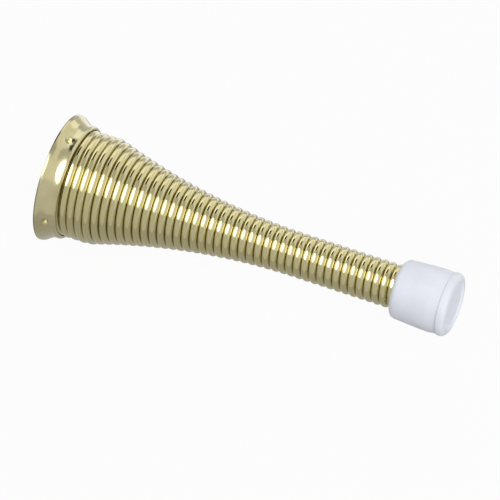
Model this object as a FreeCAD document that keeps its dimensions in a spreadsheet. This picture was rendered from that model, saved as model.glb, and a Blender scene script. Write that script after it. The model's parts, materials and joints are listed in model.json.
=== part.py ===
import FreeCAD, Part
import math
import os

import Sketcher

# Driving sizes in millimetres and degrees. The wall is the plane x = 0, and +X runs out to the tip.
SIZES = {
    "overall_length": 82.5,
    # Pressed cup that is screwed to the wall
    "sheet_thickness": 0.6,
    "rim_overhang": 1.3,
    "rim_height": 0.4,
    "shoulder_height": 1.95,
    "collar_height": 1.7,
    "bend_radius": 2.5,
    "screw_hole_diameter": 4.5,
    "stake_place": 1.9,
    "stake_punch_radius": 1.0,
    "stake_count": 4,
    # Close-wound spring
    "wire_diameter": 1.58,
    "coil_gap": 0.04,
    "wide_coil_diameter": 21.4,
    "slim_coil_diameter": 8.76,
    "coil_start_angle": 98.0,
    "flare_start": 9.5,
    "flare_length": 41.0,
    # Fits between the pieces
    "floor_gap": 0.05,
    "seat_clearance": 0.1,
    "socket_clearance": 0.1,
    "spring_end_gap": 0.3,
    # Moulded bumper
    "tip_length": 11.65,
    "tip_wall": 1.38,
    "tip_swell": 0.43,
    "tip_back_round": 1.3,
    "tip_end_wall": 3.2,
    "neck_length": 2.0,
    "neck_depth": 0.18,
    "bead_length": 1.7,
    "bead_step": 0.21,
    "nose_round": 1.1,
    "nose_rim_width": 0.3,
    "nose_recess_depth": 0.4,
}

# Sizes that follow from the driving ones, as expressions on the sheet
SEAT_RADIUS = "(Sizes.wide_coil_diameter / 2 + Sizes.seat_clearance)"
COLLAR_RADIUS = f"({SEAT_RADIUS} + Sizes.sheet_thickness)"
RIM_RADIUS = f"({COLLAR_RADIUS} + Sizes.rim_overhang)"
SHOULDER_TOP = "(Sizes.rim_height + Sizes.shoulder_height)"
CUP_HEIGHT = f"({SHOULDER_TOP} + Sizes.collar_height)"
SHOULDER_FALL = "(Sizes.rim_overhang / Sizes.shoulder_height)"
INNER_SHOULDER_TOP = f"({SHOULDER_TOP} - Sizes.sheet_thickness * tan(atan({SHOULDER_FALL}) / 2))"
FLOOR_RADIUS = f"({SEAT_RADIUS} + ({INNER_SHOULDER_TOP} - Sizes.sheet_thickness) * {SHOULDER_FALL})"
STAKE_RADIUS = f"({COLLAR_RADIUS} + Sizes.stake_punch_radius)"
SOCKET_RADIUS = "(Sizes.slim_coil_diameter / 2 + Sizes.socket_clearance)"
TIP_BACK_RADIUS = f"({SOCKET_RADIUS} + Sizes.tip_wall)"
TIP_FRONT_RADIUS = f"({TIP_BACK_RADIUS} + Sizes.tip_swell)"
NECK_RADIUS = f"({TIP_FRONT_RADIUS} - Sizes.neck_depth)"
BEAD_RADIUS = f"({NECK_RADIUS} + Sizes.bead_step)"
BEAD_START = "(Sizes.tip_length - Sizes.bead_length)"
RECESS_RADIUS = f"({BEAD_RADIUS} - Sizes.nose_round - Sizes.nose_rim_width)"

RIM_EDGE_SHARE = 0.5
RIM_BEND_SHARE = 1.4
LIP_ROUND_SHARE = 0.9
ARC_PAIRS_PER_TURN = 4
PLACE_TOLERANCE = 1e-6
ORIGIN_POINT = (-1, 1)
AXIS_LINE = -1
RADIAL_LINE = -2
START, END = 1, 2


def make_sheet(doc):
    """Return the sheet that holds every driving size under its own alias."""
    sheet = doc.addObject("Spreadsheet::Sheet", "Sizes")
    for row, (alias, size) in enumerate(SIZES.items(), start=1):
        sheet.set(f"A{row}", alias)
        sheet.set(f"B{row}", str(size))
        sheet.setAlias(f"B{row}", alias)
    doc.recompute()
    return sheet


def value(sheet, expression):
    """Return what an expression on the sheet comes to, as a plain number."""
    result = sheet.evalExpression(expression)
    return float(getattr(result, "Value", result))


def origin_feature(body, role):
    """Return the origin plane or axis of a body that has the given role."""
    return next(f for f in body.Origin.OriginFeatures if f.Role == role)


def arc_between(first, last, radius):
    """Return the arc of under half a turn that runs anticlockwise from first to last."""
    chord = last - first
    to_left = FreeCAD.Vector(-chord.y, chord.x, 0) / chord.Length
    rise = math.sqrt(max(radius**2 - (chord.Length / 2) ** 2, 0.0))
    centre = (first + last) / 2 + to_left * rise
    angles = [math.atan2(p.y - centre.y, p.x - centre.x) for p in (first, last)]
    circle = Part.Circle(centre, FreeCAD.Vector(0, 0, 1), radius)
    return Part.ArcOfCircle(circle, *angles)


def draw_outline(sheet, body, name, points, rounds):
    """Return a closed half section of the body, each corner bound to the sheet.

    points are pairs of expressions, along the axis and out from it, in clockwise order.
    rounds gives the radius of the side that follows a point, where that side is an arc.
    """
    sketch = body.newObject("Sketcher::SketchObject", name)
    sketch.AttachmentSupport = [(origin_feature(body, "XZ_Plane"), "")]
    sketch.MapMode = "FlatFace"
    corners = [FreeCAD.Vector(value(sheet, x), value(sheet, r), 0) for x, r in points]
    for i, corner in enumerate(corners):
        following = corners[(i + 1) % len(corners)]
        if i in rounds:
            side = arc_between(following, corner, value(sheet, rounds[i]))
        else:
            side = Part.LineSegment(corner, following)
        sketch.addGeometry(side, False)
    for i, place in enumerate(points):
        before = (i - 1) % len(points)
        arrives = (before, START if before in rounds else END)
        leaves = (i, END if i in rounds else START)
        sketch.addConstraint(Sketcher.Constraint("Coincident", *arrives, *leaves))
        for kind, line, expression in zip(("DistanceX", "DistanceY"), (RADIAL_LINE, AXIS_LINE), place):
            distance = value(sheet, expression)
            if abs(distance) < PLACE_TOLERANCE:
                sketch.addConstraint(Sketcher.Constraint("PointOnObject", *leaves, line))
                continue
            index = sketch.addConstraint(Sketcher.Constraint(kind, *ORIGIN_POINT, *leaves, distance))
            sketch.setExpression(f"Constraints[{index}]", expression)
    for i, radius in rounds.items():
        index = sketch.addConstraint(Sketcher.Constraint("Radius", i, value(sheet, radius)))
        sketch.setExpression(f"Constraints[{index}]", radius)
    return sketch


def turn_outline(sheet, body, points, rounds=None):
    """Return the full turn of a half section about the body's X axis."""
    sketch = draw_outline(sheet, body, f"{body.Name}_outline", points, rounds or {})
    turned = body.newObject("PartDesign::Revolution", f"{body.Name}_turned")
    turned.Profile = sketch
    turned.ReferenceAxis = (origin_feature(body, "X_Axis"), [""])
    turned.Angle = 360
    body.Document.recompute()
    return turned


def round_ring(sheet, body, feature, ring, radius):
    """Return a fillet on the circular edge that lies at the given place and radius."""
    wanted = [value(sheet, expression) for expression in ring]
    rings = {
        f"Edge{number}": (edge.Curve.Center.x, edge.Curve.Radius)
        for number, edge in enumerate(feature.Shape.Edges, start=1)
        if isinstance(edge.Curve, Part.Circle)
    }
    name = next(name for name, place in rings.items() if math.dist(place, wanted) < PLACE_TOLERANCE)
    fillet = body.newObject("PartDesign::Fillet", f"{body.Name}_round")
    fillet.Base = (feature, [name])
    fillet.setExpression("Radius", radius)
    body.Document.recompute()
    return fillet


def punch_stakes(body, radius):
    """Sink equal round dents into the skirt, spaced evenly about its axis."""
    dent = body.newObject("PartDesign::SubtractiveSphere", f"{body.Name}_stake")
    dent.setExpression("Radius", radius)
    dent.setExpression("Placement.Base.x", "Sizes.stake_place")
    dent.setExpression("Placement.Base.z", STAKE_RADIUS)
    ring = body.newObject("PartDesign::PolarPattern", f"{body.Name}_stakes")
    ring.Originals = [dent]
    ring.Axis = (origin_feature(body, "X_Axis"), [""])
    ring.Angle = 360
    ring.setExpression("Occurrences", "Sizes.stake_count")
    body.Tip = ring
    body.Document.recompute()


def make_cup(doc, sheet):
    """Return the pressed cup: its outer form less the same form one sheet further in."""
    form = doc.addObject("PartDesign::Body", "cup_form")
    turned = turn_outline(
        sheet,
        form,
        [
            ("0", "Sizes.screw_hole_diameter / 2"),
            ("0", RIM_RADIUS),
            ("Sizes.rim_height", RIM_RADIUS),
            (SHOULDER_TOP, COLLAR_RADIUS),
            (CUP_HEIGHT, COLLAR_RADIUS),
            (CUP_HEIGHT, "Sizes.screw_hole_diameter / 2"),
        ],
    )
    for ring, radius in (
        (("0", RIM_RADIUS), f"Sizes.rim_height * {RIM_EDGE_SHARE}"),
        (("Sizes.rim_height", RIM_RADIUS), f"Sizes.rim_height * {RIM_BEND_SHARE}"),
        ((SHOULDER_TOP, COLLAR_RADIUS), "Sizes.bend_radius"),
        ((CUP_HEIGHT, COLLAR_RADIUS), f"Sizes.sheet_thickness * {LIP_ROUND_SHARE}"),
    ):
        turned = round_ring(sheet, form, turned, ring, radius)
    punch_stakes(form, "Sizes.stake_punch_radius")

    hollow = doc.addObject("PartDesign::Body", "cup_hollow")
    mouth = f"{CUP_HEIGHT} + Sizes.sheet_thickness"
    turned = turn_outline(
        sheet,
        hollow,
        [
            ("Sizes.sheet_thickness", "0"),
            ("Sizes.sheet_thickness", FLOOR_RADIUS),
            (INNER_SHOULDER_TOP, SEAT_RADIUS),
            (mouth, SEAT_RADIUS),
            (mouth, "0"),
        ],
    )
    crease = (INNER_SHOULDER_TOP, SEAT_RADIUS)
    round_ring(sheet, hollow, turned, crease, "Sizes.bend_radius + Sizes.sheet_thickness")
    punch_stakes(hollow, "Sizes.stake_punch_radius + Sizes.sheet_thickness")

    cup = doc.addObject("Part::Cut", "wall_base")
    cup.Base = form
    cup.Tool = hollow
    return cup


class Winding:
    """The line of the wire's centre, wound at one pitch along the side of a trumpet.

    The side is straight in the cup, an arc over the flare, and straight again in the shank.
    """

    def __init__(self, sheet):
        wire = sheet.wire_diameter
        self.pitch = wire + sheet.coil_gap
        self.start = sheet.sheet_thickness + sheet.floor_gap + wire / 2
        self.start_angle = math.radians(sheet.coil_start_angle)
        self.wide = (sheet.wide_coil_diameter - wire) / 2
        self.slim = (sheet.slim_coil_diameter - wire) / 2
        self.straight = sheet.flare_start - self.start
        self.flare_end = sheet.flare_start + sheet.flare_length
        self.flare_angle = 2 * math.atan((self.wide - self.slim) / sheet.flare_length)
        self.flare_radius = sheet.flare_length / math.sin(self.flare_angle)
        socket_floor = sheet.overall_length - sheet.tip_end_wall
        end = socket_floor - sheet.spring_end_gap - wire / 2
        self.length = self.straight + self.flare_angle * self.flare_radius + end - self.flare_end

    def side(self, along):
        """Return the axial place, the radius and the slope at a length along the side."""
        if along < self.straight:
            return self.start + along, self.wide, 0.0
        slope = self.flare_angle - (along - self.straight) / self.flare_radius
        if slope < 0:
            return self.flare_end - slope * self.flare_radius, self.slim, 0.0
        place = self.flare_end - self.flare_radius * math.sin(slope)
        radius = self.slim + self.flare_radius * (1 - math.cos(slope))
        return place, radius, slope

    def station(self, along):
        """Return the wire's centre and its direction at a length along the side."""
        place, radius, slope = self.side(along)
        turn = 2 * math.pi / self.pitch
        angle = self.start_angle + turn * along
        outward = FreeCAD.Vector(0, math.cos(angle), math.sin(angle))
        onward = FreeCAD.Vector(0, -outward.z, outward.y)
        centre = FreeCAD.Vector(place, 0, 0) + outward * radius
        forward = FreeCAD.Vector(math.cos(slope), 0, 0) - outward * math.sin(slope)
        return centre, (forward + onward * (radius * turn)).normalize()

    def wire(self):
        """Return the centre line as arcs that run into each other without a corner."""
        count = math.ceil(self.length / self.pitch * ARC_PAIRS_PER_TURN)
        stations = [self.station(self.length * i / count) for i in range(count + 1)]
        arcs = []
        for here, there in zip(stations, stations[1:]):
            arcs += tangent_arcs(*here, *there)
        return Part.Wire(arcs)


def tangent_arcs(first, first_way, last, last_way):
    """Return two arcs that leave first and reach last along the given directions."""
    across = last - first
    spread = 2 * (1 - first_way.dot(last_way))
    forward = across.dot(first_way + last_way)
    reach = (math.sqrt(forward**2 + spread * across.dot(across)) - forward) / spread
    meeting = (first + last + (first_way - last_way) * reach) / 2
    arcs = []
    for start, corner, end in (
        (first, first + first_way * reach, meeting),
        (meeting, last - last_way * reach, last),
    ):
        middle = (start + end) / 2
        flatness = (end - start).Length / (2 * reach)
        crown = middle + (corner - middle) * (flatness / (1 + flatness))
        arcs.append(Part.Arc(start, crown, end).toShape())
    return arcs


def make_spring(doc, sheet):
    """Return the wire swept along its winding."""
    winding = Winding(sheet)
    line = doc.addObject("Part::Feature", "coil_line")
    line.Shape = winding.wire()

    centre, direction = winding.station(0.0)
    section = doc.addObject("Part::Circle", "wire_section")
    section.setExpression("Radius", "Sizes.wire_diameter / 2")
    section.Placement = FreeCAD.Placement(centre, FreeCAD.Rotation(FreeCAD.Vector(0, 0, 1), direction))

    spring = doc.addObject("Part::Sweep", "spring")
    spring.Sections = [section]
    spring.Spine = (line, [])
    spring.Solid = True
    spring.Frenet = False
    return spring


def make_tip(doc, sheet):
    """Return the bumper, turned about its socket and set over the end of the spring."""
    tip = doc.addObject("PartDesign::Body", "bumper_tip")
    recess_floor = "Sizes.tip_length - Sizes.nose_recess_depth"
    socket_floor = "Sizes.tip_length - Sizes.tip_end_wall"
    turn_outline(
        sheet,
        tip,
        [
            ("0", SOCKET_RADIUS),
            ("0", f"{TIP_BACK_RADIUS} - Sizes.tip_back_round"),
            ("Sizes.tip_back_round", TIP_BACK_RADIUS),
            (f"{BEAD_START} - Sizes.neck_length", TIP_FRONT_RADIUS),
            (BEAD_START, NECK_RADIUS),
            (f"{BEAD_START} + Sizes.bead_step", BEAD_RADIUS),
            ("Sizes.tip_length - Sizes.nose_round", BEAD_RADIUS),
            ("Sizes.tip_length", f"{BEAD_RADIUS} - Sizes.nose_round"),
            ("Sizes.tip_length", RECESS_RADIUS),
            (recess_floor, f"{RECESS_RADIUS} - Sizes.nose_recess_depth"),
            (recess_floor, "0"),
            (socket_floor, "0"),
            (socket_floor, SOCKET_RADIUS),
        ],
        rounds={1: "Sizes.tip_back_round", 4: "Sizes.bead_step", 6: "Sizes.nose_round"},
    )
    tip.setExpression("Placement.Base.x", "Sizes.overall_length - Sizes.tip_length")
    return tip


def check(doc, pieces):
    """Stop if any object failed, or any piece is not one sound solid."""
    for item in doc.Objects:
        if {"Invalid", "Error"} & set(item.State):
            raise RuntimeError(f"{item.Name} failed: {item.State}")
    for piece in pieces:
        if piece.Shape.isNull() or not piece.Shape.isValid() or len(piece.Shape.Solids) != 1:
            raise RuntimeError(f"{piece.Label} is not one sound solid")


def main():
    """Build the door stop and write each piece to its own file."""
    doc = FreeCAD.newDocument("spring_door_stop")
    sheet = make_sheet(doc)
    pieces = [make_cup(doc, sheet), make_spring(doc, sheet), make_tip(doc, sheet)]
    doc.recompute()
    check(doc, pieces)
    os.makedirs("parts", exist_ok=True)
    for piece in pieces:
        piece.Shape.exportStep(f"parts/{piece.Label}.step")


main()
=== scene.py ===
"""Looks of a spring door stop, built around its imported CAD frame.

The stop lies along +X, out of the wall plane x = 0, with +Z up. All lengths are in metres.
"""

import json
import logging
import math
from dataclasses import dataclass
from enum import Enum

import bpy
from mathutils import Euler, Matrix, Vector


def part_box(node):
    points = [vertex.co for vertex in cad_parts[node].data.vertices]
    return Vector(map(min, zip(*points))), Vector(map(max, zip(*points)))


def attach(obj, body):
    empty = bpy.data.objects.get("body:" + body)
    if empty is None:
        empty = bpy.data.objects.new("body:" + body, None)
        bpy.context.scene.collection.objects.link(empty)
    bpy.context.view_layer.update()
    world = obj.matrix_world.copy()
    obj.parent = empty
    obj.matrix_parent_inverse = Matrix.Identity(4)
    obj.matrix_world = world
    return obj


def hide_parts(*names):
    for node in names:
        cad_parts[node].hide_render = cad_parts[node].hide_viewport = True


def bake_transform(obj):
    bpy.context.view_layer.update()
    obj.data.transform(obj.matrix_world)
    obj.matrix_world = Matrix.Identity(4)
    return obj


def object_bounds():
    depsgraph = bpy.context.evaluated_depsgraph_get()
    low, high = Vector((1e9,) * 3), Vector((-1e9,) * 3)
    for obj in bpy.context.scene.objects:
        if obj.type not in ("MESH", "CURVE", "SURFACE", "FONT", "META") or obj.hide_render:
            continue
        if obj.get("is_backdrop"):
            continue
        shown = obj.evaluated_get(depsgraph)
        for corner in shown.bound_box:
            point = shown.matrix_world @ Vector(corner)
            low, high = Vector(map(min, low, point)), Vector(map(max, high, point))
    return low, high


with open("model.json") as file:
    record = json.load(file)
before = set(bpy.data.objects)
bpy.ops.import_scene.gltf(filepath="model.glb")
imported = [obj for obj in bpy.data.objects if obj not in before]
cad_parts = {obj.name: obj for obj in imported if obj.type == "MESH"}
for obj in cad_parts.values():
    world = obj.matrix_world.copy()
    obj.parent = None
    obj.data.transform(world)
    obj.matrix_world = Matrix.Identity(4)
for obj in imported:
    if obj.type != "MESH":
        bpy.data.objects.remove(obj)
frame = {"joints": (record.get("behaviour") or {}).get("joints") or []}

MM = 0.001
FULL_TURN = 2 * math.pi
AXIS = (1.0, 0.0, 0.0)
WHITE = (1.0, 1.0, 1.0, 1.0)
LAMP_WATTS = 4 * math.pi
NOISE_LOW, NOISE_HIGH = 0.3, 0.7
MERGE_DISTANCE = 0.001 * MM
OVAL_CORNERS = 64

Outline = list[tuple[float, float]]
Colour = tuple[float, float, float]
Scale = tuple[float, float, float]

log = logging.getLogger("door_stop")


class Node(Enum):
    """CAD nodes that the pieces stand for."""

    CUP = "wall_base"
    SPRING = "spring"
    BUMPER = "bumper_tip"


class Body(Enum):
    """CAD bodies that the pieces ride on."""

    BASE = "base"
    TIP = "tip"


class Slot(Enum):
    """Material slots of the record."""

    SHEET = "brass_plated_sheet"
    WIRE = "brass_plated_wire"
    VINYL = "white_vinyl"


class Coordinates(Enum):
    """Outputs of the Texture Coordinate node that a finish can follow."""

    OBJECT = "Object"
    UV = "UV"


class CardForm(Enum):
    """Outlines of a card."""

    SQUARE = "square"
    OVAL = "oval"


class NodeGraph:
    """A node tree that is filled node by node."""

    def __init__(self, tree: bpy.types.NodeTree) -> None:
        """Empty the tree and keep it.

        Args:
            tree: the node tree of a material or a world.
        """
        self.tree = tree
        tree.nodes.clear()

    def add(self, kind: str, inputs: dict | None = None, **settings: object) -> bpy.types.Node:
        """Add one node, and set or link its inputs.

        Args:
            kind: the node's type name.
            inputs: what each input gets, by name or number: a value, or an output to link.
            settings: the node's own properties.

        Returns:
            The new node.
        """
        node = self.tree.nodes.new(kind)
        for name, setting in settings.items():
            setattr(node, name, setting)
        for name, source in (inputs or {}).items():
            if isinstance(source, bpy.types.NodeSocket):
                self.tree.links.new(source, node.inputs[name])
            else:
                node.inputs[name].default_value = source
        return node

    def pattern(self, follows: Coordinates, scale: Scale, detail: float = 3.0) -> bpy.types.NodeSocket:
        """Add a noise pattern.

        Args:
            follows: the coordinates that carry the pattern.
            scale: how many times the pattern repeats along each coordinate.
            detail: how much fine detail the noise has.

        Returns:
            The noise's value, from 0 to 1.
        """
        place = self.add("ShaderNodeTexCoord").outputs[follows.value]
        mapped = self.add("ShaderNodeMapping", {"Vector": place, "Scale": scale}).outputs["Vector"]
        noise = self.add("ShaderNodeTexNoise", {"Vector": mapped, "Scale": 1.0, "Detail": detail})
        return noise.outputs["Fac"]

    def spread(self, source: bpy.types.NodeSocket, low: float, high: float) -> bpy.types.NodeSocket:
        """Stretch the middle of a noise pattern over a range.

        Args:
            source: the noise's value.
            low: what the pattern's low parts come to.
            high: what its high parts come to.

        Returns:
            The stretched value.
        """
        inputs = {
            "Value": source,
            "From Min": NOISE_LOW,
            "From Max": NOISE_HIGH,
            "To Min": low,
            "To Max": high,
        }
        return self.add("ShaderNodeMapRange", inputs).outputs["Result"]

    def tone(self, source: bpy.types.NodeSocket, dark: Colour, light: Colour) -> bpy.types.NodeSocket:
        """Colour a noise pattern.

        Args:
            source: the noise's value.
            dark: the colour of its low parts.
            light: the colour of its high parts.

        Returns:
            The colour.
        """
        ramp = self.add("ShaderNodeValToRGB", {"Fac": source})
        for stop, place, colour in zip(ramp.color_ramp.elements, (NOISE_LOW, NOISE_HIGH), (dark, light)):
            stop.position = place
            stop.color = (*colour, 1.0)
        return ramp.outputs["Color"]

    def blend_colours(
        self, share: bpy.types.NodeSocket, first: bpy.types.NodeSocket, second: Colour
    ) -> bpy.types.NodeSocket:
        """Blend a colour into another.

        Args:
            share: how much of the second colour there is, from 0 to 1.
            first: the first colour.
            second: the second colour.

        Returns:
            The blended colour.
        """
        mix = self.add("ShaderNodeMix", data_type="RGBA")
        factor, first_socket, second_socket = mix.inputs[0], mix.inputs[6], mix.inputs[7]
        self.tree.links.new(share, factor)
        self.tree.links.new(first, first_socket)
        second_socket.default_value = (*second, 1.0)
        return mix.outputs[2]

    def bump(self, source: bpy.types.NodeSocket, depth: float) -> bpy.types.NodeSocket:
        """Turn a pattern into small hills.

        Args:
            source: the pattern's value.
            depth: the height of the hills.

        Returns:
            The bent normal.
        """
        inputs = {"Height": source, "Strength": 1.0, "Distance": depth}
        return self.add("ShaderNodeBump", inputs).outputs["Normal"]


def new_graph(name: str) -> tuple[bpy.types.Material, NodeGraph]:
    """Make a material with an empty node tree.

    Args:
        name: the material's name.

    Returns:
        The material and its graph.
    """
    material = bpy.data.materials.new(name)
    material.use_nodes = True
    return material, NodeGraph(material.node_tree)


@dataclass(frozen=True)
class PlatedWireFinish:
    """Bright brass plating on drawn wire under clear lacquer, with fine lines along the wire."""

    dark: Colour = (0.57, 0.51, 0.255)
    light: Colour = (0.64, 0.58, 0.32)
    roughness: tuple[float, float] = (0.06, 0.12)
    lacquer_weight: float = 0.6
    lacquer_roughness: float = 0.08
    line_scale: Scale = (60.0, 300.0, 1.0)
    patch_scale: Scale = (3.0, 500.0, 1.0)
    line_depth: float = 0.0008 * MM

    def make(self) -> bpy.types.Material:
        """Make the plating, with its lines drawn along the wire's UV map.

        Returns:
            The material.
        """
        material, graph = new_graph("plated_wire")
        lines = graph.pattern(Coordinates.UV, self.line_scale)
        patches = graph.pattern(Coordinates.UV, self.patch_scale)
        shader = graph.add(
            "ShaderNodeBsdfPrincipled",
            {
                "Base Color": graph.tone(patches, self.dark, self.light),
                "Metallic": 1.0,
                "Roughness": graph.spread(lines, *self.roughness),
                "Coat Weight": self.lacquer_weight,
                "Coat Roughness": self.lacquer_roughness,
                "Normal": graph.bump(lines, self.line_depth),
            },
        )
        graph.add("ShaderNodeOutputMaterial", {"Surface": shader.outputs["BSDF"]})
        return material


@dataclass(frozen=True)
class PlatedSheetFinish:
    """Lacquered brass plating on pressed sheet, with a faint ripple from the press and painted shade along
    the rim's outer edge.
    """

    rim_radius: float
    dark: Colour = (0.53, 0.47, 0.24)
    light: Colour = (0.66, 0.6, 0.35)
    # Painted shade: a dark colour laid along the rim's outer edge, standing in for the dark reflection
    # there.
    rim_shade: Colour = (0.17, 0.155, 0.1)
    rim_shade_insets: tuple[float, float] = (0.03 * MM, 0.005 * MM)
    roughness: tuple[float, float] = (0.13, 0.21)
    lacquer_weight: float = 0.6
    lacquer_roughness: float = 0.08
    patch_scale: Scale = (220.0, 220.0, 220.0)
    ripple_scale: Scale = (260.0, 260.0, 260.0)
    ripple_depth: float = 0.02 * MM

    def make(self) -> bpy.types.Material:
        """Make the plating, with its patches, its ripple and the painted shade along the rim's outer edge.

        Returns:
            The material.
        """
        material, graph = new_graph("plated_sheet")
        patches = graph.pattern(Coordinates.OBJECT, self.patch_scale)
        ripple = graph.pattern(Coordinates.OBJECT, self.ripple_scale, detail=0.0)
        plating = graph.tone(patches, self.dark, self.light)
        shader = graph.add(
            "ShaderNodeBsdfPrincipled",
            {
                # The plating is blended towards the painted shade colour at the rim's outer edge.
                "Base Color": graph.blend_colours(self.rim_shade_share(graph), plating, self.rim_shade),
                "Metallic": 1.0,
                "Roughness": graph.spread(patches, *self.roughness),
                "Coat Weight": self.lacquer_weight,
                "Coat Roughness": self.lacquer_roughness,
                "Normal": graph.bump(ripple, self.ripple_depth),
            },
        )
        graph.add("ShaderNodeOutputMaterial", {"Surface": shader.outputs["BSDF"]})
        return material

    def rim_shade_share(self, graph: NodeGraph) -> bpy.types.NodeSocket:
        """Find the rim's outer edge, where the shade is painted, by its distance from the axis.

        Args:
            graph: the graph that the nodes go in.

        Returns:
            How far a place is into the painted shade, from 0 to 1.
        """
        place = graph.add("ShaderNodeTexCoord").outputs[Coordinates.OBJECT.value]
        flat = graph.add("ShaderNodeMapping", {"Vector": place, "Scale": (0.0, 1.0, 1.0)}).outputs["Vector"]
        radius = graph.add("ShaderNodeVectorMath", {0: flat}, operation="LENGTH").outputs["Value"]
        start, full = (self.rim_radius - inset for inset in self.rim_shade_insets)
        inputs = {"Value": radius, "From Min": start, "From Max": full}
        return graph.add("ShaderNodeMapRange", inputs).outputs["Result"]


@dataclass(frozen=True)
class MouldedVinylFinish:
    """Soft white vinyl with the fine grain of its mould."""

    dark: Colour = (0.73, 0.757, 0.825)
    light: Colour = (0.77, 0.8, 0.87)
    roughness: tuple[float, float] = (0.5, 0.62)
    cloud_scale: Scale = (300.0, 300.0, 300.0)
    grain_scale: Scale = (6000.0, 6000.0, 6000.0)
    grain_depth: float = 0.004 * MM

    def make(self) -> bpy.types.Material:
        """Make the vinyl, with its clouds and its grain.

        Returns:
            The material.
        """
        material, graph = new_graph("moulded_vinyl")
        clouds = graph.pattern(Coordinates.OBJECT, self.cloud_scale)
        grain = graph.pattern(Coordinates.OBJECT, self.grain_scale)
        shader = graph.add(
            "ShaderNodeBsdfPrincipled",
            {
                "Base Color": graph.tone(clouds, self.dark, self.light),
                "Roughness": graph.spread(grain, *self.roughness),
                "Normal": graph.bump(grain, self.grain_depth),
            },
        )
        graph.add("ShaderNodeOutputMaterial", {"Surface": shader.outputs["BSDF"]})
        return material


def select_only(piece: bpy.types.Object) -> None:
    """Make a piece the one selected and active object.

    Args:
        piece: the piece.
    """
    bpy.ops.object.select_all(action="DESELECT")
    piece.select_set(True)
    bpy.context.view_layer.objects.active = piece


def deselect_mesh(piece: bpy.types.Object) -> None:
    """Make a piece active, with none of its faces, edges and vertices selected.

    Args:
        piece: the piece.
    """
    select_only(piece)
    bpy.ops.object.mode_set(mode="EDIT")
    bpy.ops.mesh.select_all(action="DESELECT")
    bpy.ops.object.mode_set(mode="OBJECT")


def round_corners(corners: list[tuple[float, float, float]], steps: int) -> Outline:
    """Round the corners of a closed outline.

    Args:
        corners: place along the axis, distance from it and rounding radius of each corner.
        steps: how many straight steps each rounding has.

    Returns:
        The points of the rounded outline, in the same order.
    """
    points: Outline = []
    for i, (x, r, radius) in enumerate(corners):
        here = Vector((x, r))
        back = (Vector(corners[i - 1][:2]) - here).normalized()
        ahead = (Vector(corners[(i + 1) % len(corners)][:2]) - here).normalized()
        if radius == 0:
            points.append((x, r))
            continue
        half = back.angle(ahead) / 2
        centre = here + (back + ahead).normalized() * (radius / math.sin(half))
        first = here + back * (radius / math.tan(half)) - centre
        last = here + ahead * (radius / math.tan(half)) - centre
        sweep = first.angle_signed(last)
        for step in range(steps + 1):
            turned = Matrix.Rotation(-sweep * step / steps, 2) @ first
            points.append(tuple(centre + turned))
    return points


def shorten_steps(outline: Outline, longest: float) -> Outline:
    """Divide the long steps of a closed outline evenly.

    Args:
        outline: the points of the outline.
        longest: the longest step that stays whole.

    Returns:
        The points of the same outline, with more of them on its straight runs.
    """
    points: Outline = []
    for here, there in zip(outline, outline[1:] + outline[:1]):
        count = max(1, math.ceil(math.dist(here, there) / longest))
        points += [tuple(Vector(here).lerp(Vector(there), step / count)) for step in range(count)]
    return points


def spin_outline(name: str, outline: Outline, steps: int) -> bpy.types.Object:
    """Draw a closed half section with one vertex, and spin it about the X axis.

    Args:
        name: the name of the piece.
        outline: the section's points, along the axis and out from it.
        steps: how many steps the full turn has.

    Returns:
        The closed piece.
    """
    bpy.ops.object.select_all(action="DESELECT")
    x, r = outline[0]
    bpy.ops.mesh.primitive_plane_add(size=MM, location=(x, 0.0, r))
    bpy.ops.object.transform_apply(location=True, rotation=True, scale=True)
    piece = bpy.context.view_layer.objects.active
    piece.name = piece.data.name = name
    bpy.ops.object.mode_set(mode="EDIT")
    bpy.ops.mesh.select_all(action="SELECT")
    bpy.ops.mesh.merge(type="CENTER")
    for (x0, r0), (x1, r1) in zip(outline, outline[1:] + outline[:1]):
        bpy.ops.mesh.extrude_region_move(TRANSFORM_OT_translate={"value": (x1 - x0, 0.0, r1 - r0)})
    bpy.ops.mesh.select_all(action="SELECT")
    bpy.ops.mesh.remove_doubles(threshold=MERGE_DISTANCE)
    bpy.ops.mesh.spin(steps=steps, angle=FULL_TURN, center=(0.0, 0.0, 0.0), axis=AXIS)
    bpy.ops.mesh.select_all(action="SELECT")
    bpy.ops.mesh.remove_doubles(threshold=MERGE_DISTANCE)
    bpy.ops.mesh.normals_make_consistent(inside=False)
    bpy.ops.object.mode_set(mode="OBJECT")
    bpy.ops.object.shade_smooth()
    return piece


def subdivide(piece: bpy.types.Object, levels: int) -> None:
    """Smooth a piece with a subdivision surface and apply it.

    Args:
        piece: the piece.
        levels: how often its faces are divided.
    """
    select_only(piece)
    modifier = piece.modifiers.new("smooth", "SUBSURF")
    modifier.levels = modifier.render_levels = levels
    bpy.ops.object.modifier_apply(modifier=modifier.name)


def stand_for(piece: bpy.types.Object, node: Node, material: bpy.types.Material) -> None:
    """Give a piece its finish, and put it in the place of a CAD node.

    Args:
        piece: the piece.
        node: the CAD node that it stands for.
        material: the finish.
    """
    piece.data.materials.clear()
    piece.data.materials.append(material)
    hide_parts(node.value)


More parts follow.
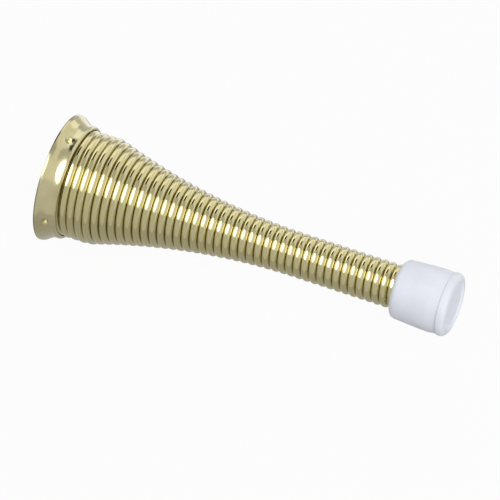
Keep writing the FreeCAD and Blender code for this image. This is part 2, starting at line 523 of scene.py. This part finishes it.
@dataclass
class WallCup:
    """The pressed cup on the wall, with dents that grip the spring's first turn."""

    rim_radius: float
    height: float
    sheet: float = 0.6 * MM
    hole_radius: float = 2.25 * MM
    rim_overhang: float = 1.3 * MM
    rim_height: float = 0.5 * MM
    shoulder_height: float = 1.85 * MM
    rim_round: float = 0.04 * MM
    rim_bend: float = 1.4 * MM
    bend: float = 2.5 * MM
    lip_round: float = 0.54 * MM
    lip_curl: float = 0.07 * MM
    edge_round: float = 0.05 * MM
    longest_step: float = 0.25 * MM
    dent_place: float = 1.9 * MM
    dish_depth: float = 0.3 * MM
    dish_reach: float = 1.45 * MM
    pit_depth: float = 0.55 * MM
    pit_reach: float = 0.85 * MM
    pull_depth: float = 0.1 * MM
    pull_reach: float = 2.2 * MM
    dent_count: int = 4
    dent_cuts: int = 2
    outer_weight: float = 0.25
    corner_steps: int = 6
    turn_steps: int = 112
    smooth_levels: int = 1

    @classmethod
    def from_frame(cls) -> "WallCup":
        """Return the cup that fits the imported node."""
        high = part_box(Node.CUP.value)[1]
        return cls(rim_radius=high.z, height=high.x)

    def outline(self) -> Outline:
        """Draw the half section of the bent sheet.

        Returns:
            The section's points, along the axis and out from it.
        """
        collar = self.rim_radius - self.rim_overhang
        seat = collar - self.sheet
        shoulder = self.rim_height + self.shoulder_height
        fall = self.rim_overhang / self.shoulder_height
        inner_shoulder = shoulder - self.sheet * math.tan(math.atan(fall) / 2)
        floor_radius = seat + (inner_shoulder - self.sheet) * fall
        rounded = round_corners(
            [
                (0.0, self.hole_radius, self.edge_round),
                (0.0, self.rim_radius, self.rim_round),
                (self.rim_height, self.rim_radius, self.rim_bend),
                (shoulder, collar, self.bend),
                (self.height, collar, self.lip_round),
                (self.height, seat - self.lip_curl, self.edge_round),
                (self.height - self.sheet, seat, self.edge_round),
                (inner_shoulder, seat, self.bend + self.sheet),
                (self.sheet, floor_radius, self.edge_round),
                (self.sheet, self.hole_radius, self.edge_round),
            ],
            self.corner_steps,
        )
        return shorten_steps(rounded, self.longest_step)

    def build(self) -> bpy.types.Object:
        """Spin the section, smooth it and press the dents.

        Returns:
            The mesh of the cup.
        """
        piece = spin_outline("wall_cup", self.outline(), self.turn_steps)
        subdivide(piece, self.smooth_levels)
        self.press_dents(piece)
        return piece

    def dress(self, piece: bpy.types.Object) -> None:
        """Plate the cup, and fix it to the wall.

        Args:
            piece: the mesh of the cup.
        """
        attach(piece, Body.BASE.value)
        stand_for(piece, Node.CUP, PlatedSheetFinish(self.rim_radius).make())

    def press_dents(self, piece: bpy.types.Object) -> None:
        """Punch the sheet in at even places round the shoulder, and pull its lip in a little there.

        Args:
            piece: the mesh of the cup.
        """
        for number in range(self.dent_count):
            angle = FULL_TURN * number / self.dent_count
            outward = Vector((0.0, math.cos(angle), math.sin(angle)))
            lip = self.outer_point(piece, outward, self.height)
            self.push(piece, lip, outward, self.pull_depth, self.pull_reach)
            middle = self.outer_point(piece, outward, self.dent_place)
            self.refine(piece, middle)
            for depth, reach in ((self.dish_depth, self.dish_reach), (self.pit_depth, self.pit_reach)):
                self.push(piece, self.outer_point(piece, outward, middle.x), outward, depth, reach)

    def outer_point(self, piece: bpy.types.Object, outward: Vector, place: float) -> Vector:
        """Find the outer side of the sheet.

        Args:
            piece: the mesh of the cup.
            outward: the way out from the axis.
            place: how far along the axis.

        Returns:
            The outermost of the vertices that are near the line out from the axis.
        """
        centre = Vector((place, 0.0, 0.0))
        best, best_score = None, math.inf
        for vertex in piece.data.vertices:
            aside = (vertex.co - centre).cross(outward).length
            score = aside - vertex.co.dot(outward) * self.outer_weight
            if aside < self.longest_step and score < best_score:
                best, best_score = vertex.co.copy(), score
        return best

    def refine(self, piece: bpy.types.Object, middle: Vector) -> None:
        """Divide the faces round a dent, so that it can be sharp.

        Args:
            piece: the mesh of the cup.
            middle: the middle of the dent.
        """
        deselect_mesh(piece)
        for face in piece.data.polygons:
            face.select = (face.center - middle).length < self.dish_reach
        bpy.ops.object.mode_set(mode="EDIT")
        bpy.ops.mesh.subdivide(number_cuts=self.dent_cuts, smoothness=1.0)
        bpy.ops.object.mode_set(mode="OBJECT")

    def push(
        self, piece: bpy.types.Object, point: Vector, outward: Vector, depth: float, reach: float
    ) -> None:
        """Push one point towards the axis, and what lies near it less.

        Args:
            piece: the mesh of the cup.
            point: the vertex.
            outward: the way out from the axis.
            depth: how far the point goes in.
            reach: how far from the point the push is felt.
        """
        deselect_mesh(piece)
        for vertex in piece.data.vertices:
            vertex.select = vertex.co == point
        bpy.ops.object.mode_set(mode="EDIT")
        bpy.ops.transform.translate(
            value=-outward * depth,
            use_proportional_edit=True,
            proportional_edit_falloff="SMOOTH",
            proportional_size=reach,
        )
        bpy.ops.mesh.select_all(action="DESELECT")
        bpy.ops.object.mode_set(mode="OBJECT")


@dataclass
class CoilSpring:
    """The close-wound spring: straight in the cup, flared over its middle, and slim at its end.

    The wire is drawn as thick as the CAD spring's pitch, so that its turns touch.
    """

    start: float
    end: float
    wide_radius: float
    pivot: float
    wire: float = 1.62 * MM
    slim_diameter: float = 8.76 * MM
    start_angle: float = math.radians(98.0)
    flare_start: float = 9.5 * MM
    flare_length: float = 41.0 * MM
    bend_reach: float = 20.0 * MM
    points_per_turn: int = 60
    section_resolution: int = 10

    @classmethod
    def from_frame(cls) -> "CoilSpring":
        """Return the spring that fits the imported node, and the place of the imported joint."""
        low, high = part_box(Node.SPRING.value)
        return cls(start=low.x, end=high.x, wide_radius=high.z, pivot=frame["joints"][0]["pos_m"][0])

    def centre_line(self) -> list[Vector]:
        """Work out the middle of the wire, turn by turn.

        Returns:
            Points along the wire, from the cup to the bumper.
        """
        half = self.wire / 2
        wide, slim = self.wide_radius - half, self.slim_diameter / 2 - half
        straight = self.flare_start - self.start - half
        flare_end = self.flare_start + self.flare_length
        opening = 2 * math.atan((wide - slim) / self.flare_length)
        sweep = self.flare_length / math.sin(opening)
        length = straight + opening * sweep + self.end - half - flare_end
        count = math.ceil(length / self.wire * self.points_per_turn)
        points = []
        for i in range(count + 1):
            along = length * i / count
            slope = min(opening, opening - (along - straight) / sweep)
            if along < straight:
                x, radius = self.start + half + along, wide
            elif slope > 0:
                x, radius = flare_end - sweep * math.sin(slope), slim + sweep * (1 - math.cos(slope))
            else:
                x, radius = flare_end - slope * sweep, slim
            turn = self.start_angle + FULL_TURN * along / self.wire
            points.append(Vector((x, radius * math.cos(turn), radius * math.sin(turn))))
        return points

    def build(self) -> bpy.types.Object:
        """Wind the wire as a round-bevelled curve, and make it a mesh.

        Returns:
            The mesh of the spring.
        """
        line = bpy.data.curves.new("coil_spring", "CURVE")
        line.dimensions = "3D"
        line.bevel_depth = self.wire / 2
        line.bevel_resolution = self.section_resolution
        line.use_fill_caps = True
        points = self.centre_line()
        spline = line.splines.new("POLY")
        spline.points.add(len(points) - 1)
        for point, place in zip(spline.points, points):
            point.co = (*place, 1.0)
        piece = bpy.data.objects.new("coil_spring", line)
        bpy.context.scene.collection.objects.link(piece)
        select_only(piece)
        bpy.ops.object.convert(target="MESH")
        return bpy.context.view_layer.objects.active

    def dress(self, piece: bpy.types.Object) -> None:
        """Plate the spring, and set its place into its mesh.

        Args:
            piece: the mesh of the spring.
        """
        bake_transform(piece)
        stand_for(piece, Node.SPRING, PlatedWireFinish().make())


@dataclass
class BumperCap:
    """The soft moulded cap on the spring's slim end."""

    start: float
    end: float
    bead_radius: float
    socket_radius: float = 4.48 * MM
    back_radius: float = 5.86 * MM
    front_radius: float = 6.29 * MM
    neck_radius: float = 6.11 * MM
    back_round: float = 1.3 * MM
    neck_length: float = 2.0 * MM
    neck_round: float = 3.4 * MM
    bead_length: float = 1.7 * MM
    bead_round: float = 0.1 * MM
    nose_round: float = 1.1 * MM
    rim_width: float = 0.3 * MM
    dish_depth: float = 0.4 * MM
    end_wall: float = 3.2 * MM
    small_round: float = 0.2 * MM
    corner_steps: int = 4
    turn_steps: int = 96
    smooth_levels: int = 1

    @classmethod
    def from_frame(cls) -> "BumperCap":
        """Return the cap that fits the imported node."""
        low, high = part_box(Node.BUMPER.value)
        return cls(start=low.x, end=high.x, bead_radius=high.z)

    def outline(self) -> Outline:
        """Draw the half section of the cap, from its mouth round to its socket.

        Returns:
            The section's points, along the axis and out from it.
        """
        bead = self.end - self.bead_length
        dish = self.bead_radius - self.nose_round - self.rim_width
        floor = self.end - self.end_wall
        return round_corners(
            [
                (self.start, self.socket_radius, self.small_round),
                (self.start, self.back_radius, self.back_round),
                (bead - self.neck_length, self.front_radius, self.neck_round),
                (bead, self.neck_radius, self.bead_round),
                (bead + self.bead_round, self.bead_radius, self.bead_round),
                (self.end, self.bead_radius, self.nose_round),
                (self.end, dish, self.small_round),
                (self.end - self.dish_depth, dish - self.dish_depth, self.small_round),
                (self.end - self.dish_depth, 0.0, 0.0),
                (floor, 0.0, 0.0),
                (floor, self.socket_radius, self.small_round),
            ],
            self.corner_steps,
        )

    def build(self) -> bpy.types.Object:
        """Spin the section and smooth it.

        Returns:
            The mesh of the cap.
        """
        piece = spin_outline("bumper_cap", self.outline(), self.turn_steps)
        subdivide(piece, self.smooth_levels)
        return piece

    def dress(self, piece: bpy.types.Object) -> None:
        """Mould the cap in vinyl, and let it go with the spring's end.

        Args:
            piece: the mesh of the cap.
        """
        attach(piece, Body.TIP.value)
        stand_for(piece, Node.BUMPER, MouldedVinylFinish().make())


@dataclass(frozen=True)
class SoftBox:
    """A long soft box or card beside the stop, parallel to its axis.

    Attributes:
        name: what its objects are called.
        angle: where it hangs round the axis, in degrees from +Y towards +Z.
        distance: how far it is from the axis.
        span: where it starts and ends along the axis.
        height: its size across the axis.
        shine: how bright gloss shows it.
        light: how bright its lamp is, or 0 for a card with no lamp.
        shift: how far it is moved across the axis.
        form: its outline.
    """

    name: str
    angle: float
    distance: float
    span: tuple[float, float]
    height: float
    shine: float
    light: float = 0.0
    shift: float = 0.0
    form: CardForm = CardForm.SQUARE

    def build(self) -> None:
        """Hang the card that gloss shows and, if the box gives light, a lamp in the same place."""
        turn = math.radians(self.angle)
        place = Vector((sum(self.span) / 2, self.distance * math.cos(turn), self.distance * math.sin(turn)))
        facing = Euler((turn - FULL_TURN / 4, 0.0, 0.0))
        place += facing.to_matrix() @ Vector((0.0, self.shift, 0.0))
        size = (self.span[1] - self.span[0], self.height)
        self.hang_card(place, facing, size)
        if self.light > 0:
            self.hang_lamp(place, facing, size)

    def hang_card(self, place: Vector, facing: Euler, size: tuple[float, float]) -> None:
        """Hang a glowing card that only gloss shows.

        Args:
            place: the middle of the card.
            facing: how the card is turned.
            size: length and height of the card.
        """
        bpy.ops.object.select_all(action="DESELECT")
        if self.form is CardForm.OVAL:
            bpy.ops.mesh.primitive_circle_add(
                vertices=OVAL_CORNERS, radius=0.5, fill_type="NGON", location=place, rotation=facing
            )
        else:
            bpy.ops.mesh.primitive_plane_add(size=1.0, location=place, rotation=facing)
        card = bpy.context.view_layer.objects.active
        card.name = f"{self.name}_card"
        card.scale = (*size, 1.0)
        card.visible_camera = card.visible_diffuse = card.visible_shadow = False
        material, graph = new_graph(card.name)
        glow = graph.add("ShaderNodeEmission", {"Color": WHITE, "Strength": self.shine})
        graph.add("ShaderNodeOutputMaterial", {"Surface": glow.outputs[0]})
        card.data.materials.append(material)
        card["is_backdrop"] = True

    def hang_lamp(self, place: Vector, facing: Euler, size: tuple[float, float]) -> None:
        """Hang the lamp that lights matt surfaces.

        Args:
            place: the middle of the lamp.
            facing: how the lamp is turned.
            size: length and height of the lamp.
        """
        lamp = bpy.data.lights.new(f"{self.name}_light", "AREA")
        lamp.shape = "RECTANGLE"
        lamp.size, lamp.size_y = size
        lamp.energy = self.light * LAMP_WATTS * size[0] * size[1]
        hung = bpy.data.objects.new(lamp.name, lamp)
        bpy.context.scene.collection.objects.link(hung)
        hung.location, hung.rotation_euler = place, facing
        hung.visible_camera = hung.visible_glossy = False


@dataclass
class Studio:
    """The pale floor, the soft light and the white surroundings."""

    floor_height: float
    floor_size: float = 6.0
    floor_paper: Colour = (0.6, 0.6, 0.6)
    floor_glow: float = 0.95
    world_light: float = 0.36
    boxes: tuple[SoftBox, ...] = (
        SoftBox(
            "key",
            angle=118.0,
            distance=0.6,
            span=(-1.0, 0.19),
            height=0.56,
            shine=3.6,
            light=0.12,
            form=CardForm.OVAL,
        ),
        SoftBox("fill", angle=122.0, distance=0.7, span=(0.35, 1.5), height=0.5, shine=1.0, light=1.3),
        SoftBox("side", angle=33.0, distance=0.9, span=(-3.5, -0.8), height=0.6, shine=1.95),
        SoftBox("rear", angle=32.0, distance=0.8, span=(-0.67, 0.08), height=0.5, shine=1.3, light=0.5),
        SoftBox("low_rear", angle=6.0, distance=0.8, span=(-1.7, 0.15), height=0.18, shine=0.6),
        SoftBox("end", angle=6.0, distance=0.8, span=(0.16, 1.1), height=0.25, shine=1.4),
        SoftBox("gap", angle=83.0, distance=0.75, span=(-0.75, 0.75), height=0.33, shine=0.62),
        SoftBox("flag", angle=60.0, distance=0.7, span=(-0.58, -0.04), height=0.3, shine=0.02),
        SoftBox("front", angle=162.0, distance=1.0, span=(-1.5, 1.5), height=0.69, shine=0.7),
        SoftBox("table", angle=-90.0, distance=0.0124, span=(-0.8, 0.9), height=1.8, shine=0.67),
        SoftBox(
            "paper", angle=-90.0, distance=0.0122, span=(-0.3, 0.4), height=0.06, shine=1.15, shift=-0.05
        ),
        SoftBox("shade", angle=-90.0, distance=0.0121, span=(-0.05, 0.13), height=0.07, shine=0.49),
    )

    def build(self) -> None:
        """Make the floor, the surroundings and the lamps."""
        self.lay_floor()
        self.surround()
        for box in self.boxes:
            box.build()

    def seen(self, graph: NodeGraph) -> bpy.types.NodeSocket:
        """Tell the rays that show the surroundings from those that only light.

        Args:
            graph: the graph that the nodes go in.

        Returns:
            1 for rays of the camera, of gloss and of glass, and 0 for the rest.
        """
        path = graph.add("ShaderNodeLightPath").outputs
        total = path["Is Camera Ray"]
        for name in ("Is Glossy Ray", "Is Transmission Ray"):
            total = graph.add("ShaderNodeMath", {0: total, 1: path[name]}, operation="MAXIMUM").outputs[0]
        return total

    def lay_floor(self) -> None:
        """Lay a wide floor that looks white and still takes the stop's shadow."""
        bpy.ops.object.select_all(action="DESELECT")
        bpy.ops.mesh.primitive_plane_add(size=self.floor_size, location=(0.0, 0.0, self.floor_height))
        floor = bpy.context.view_layer.objects.active
        floor.name = "floor"
        material, graph = new_graph("floor_paper")
        paper = graph.add("ShaderNodeBsdfDiffuse", {"Color": (*self.floor_paper, 1.0)}).outputs[0]
        glow = graph.add("ShaderNodeEmission", {"Color": WHITE, "Strength": 1.0}).outputs[0]
        inputs = {0: self.seen(graph), 1: self.floor_glow}
        share = graph.add("ShaderNodeMath", inputs, operation="MULTIPLY").outputs[0]
        mixed = graph.add("ShaderNodeMixShader", {0: share, 1: paper, 2: glow}).outputs[0]
        graph.add("ShaderNodeOutputMaterial", {"Surface": mixed})
        floor.data.materials.append(material)
        floor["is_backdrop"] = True

    def surround(self) -> None:
        """Surround the scene with white, at a lower level for the light that it gives."""
        world = bpy.data.worlds.new("studio")
        bpy.context.scene.world = world
        world.use_nodes = True
        graph = NodeGraph(world.node_tree)
        inputs = {"Value": self.seen(graph), "To Min": self.world_light, "To Max": 1.0}
        strength = graph.add("ShaderNodeMapRange", inputs).outputs["Result"]
        white = graph.add("ShaderNodeBackground", {"Color": WHITE, "Strength": strength})
        graph.add("ShaderNodeOutputWorld", {"Surface": white.outputs[0]})


@dataclass
class PhotoCamera:
    """The camera at the photograph's viewing angle and framing."""

    subject: Vector
    subject_pixel: tuple[float, float] = (255.7, 241.0)
    azimuth: float = 23.4
    elevation: float = 49.3
    distance: float = 1.2
    lens: float = 450.0
    sensor: float = 36.0
    frame_width: float = 500.0

    def build(self) -> None:
        """Set the camera up, with the subject at its pixel."""
        data = bpy.data.cameras.new("camera")
        data.lens, data.sensor_width = self.lens, self.sensor
        camera = bpy.data.objects.new("camera", data)
        bpy.context.scene.collection.objects.link(camera)
        turn, lift = math.radians(self.azimuth), math.radians(self.elevation)
        back = Vector((math.sin(turn) * math.cos(lift), -math.cos(turn) * math.cos(lift), math.sin(lift)))
        facing = back.to_track_quat("Z", "Y")
        pixel = self.distance * self.sensor / self.lens / self.frame_width
        right, up = facing @ Vector((1, 0, 0)), facing @ Vector((0, 1, 0))
        aim = self.subject - right * (self.subject_pixel[0] - self.frame_width / 2) * pixel
        aim += up * (self.subject_pixel[1] - self.frame_width / 2) * pixel
        camera.location = aim + back * self.distance
        camera.rotation_euler = facing.to_euler()
        bpy.context.scene.camera = camera


def main() -> None:
    """Build the stop's pieces, its studio and the camera."""
    logging.basicConfig(level=logging.INFO, format="%(name)s: %(message)s")
    cad_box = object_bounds()

    for assembly in (WallCup.from_frame(), CoilSpring.from_frame(), BumperCap.from_frame()):
        piece = assembly.build()
        assembly.dress(piece)
        log.info("%s: %d faces", piece.name, len(piece.data.polygons))

    low, high = cad_box
    Studio(floor_height=low.z).build()
    PhotoCamera(subject=Vector(((low.x + high.x) / 2, 0.0, 0.0))).build()
    bpy.context.scene.view_settings.view_transform = "Standard"


if __name__ == "__main__":
    main()
